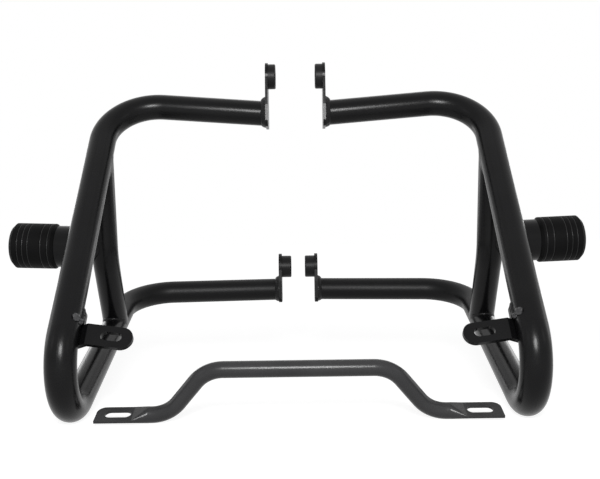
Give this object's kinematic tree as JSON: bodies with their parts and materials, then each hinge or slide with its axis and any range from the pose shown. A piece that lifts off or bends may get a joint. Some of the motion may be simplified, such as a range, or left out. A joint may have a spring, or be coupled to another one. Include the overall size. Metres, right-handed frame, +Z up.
{
  "type": "motorcycle crash bars",
  "caption": "Bent tube crash bars for a motorcycle: a mirrored pair of side loops with struts and slider pucks, and a slotted cross bar.",
  "frame": {"origin": "midway between the two upper frame bolts, on their common axis", "axes": "+X to the side of the right guard as seen from the front, along the upper bolt axis; +Y to the rear of the motorcycle; +Z up"},
  "size_m": [0.6152, 0.378, 0.3671],
  "materials": {
    "guard_coat": "fine satin powder coat",
    "puck_plastic": "turned, matte",
    "bolt_steel": "dark zinc"
  },
  "bodies": {
    "root": {"right_loop": "guard_coat", "left_loop": "guard_coat", "right_strut": "guard_coat", "left_strut": "guard_coat", "right_upper_plate": "guard_coat", "left_upper_plate": "guard_coat", "right_upper_boss": "guard_coat", "left_upper_boss": "guard_coat", "right_lower_plate": "guard_coat", "left_lower_plate": "guard_coat", "right_lower_boss": "guard_coat", "left_lower_boss": "guard_coat", "right_tab": "guard_coat", "left_tab": "guard_coat", "right_puck_post": "guard_coat", "left_puck_post": "guard_coat", "right_puck": "puck_plastic", "left_puck": "puck_plastic", "right_puck_washer": "bolt_steel", "left_puck_washer": "bolt_steel", "right_puck_bolt": "bolt_steel", "left_puck_bolt": "bolt_steel", "slotted_cross_bar": "guard_coat"}
  },
  "joints": []
}
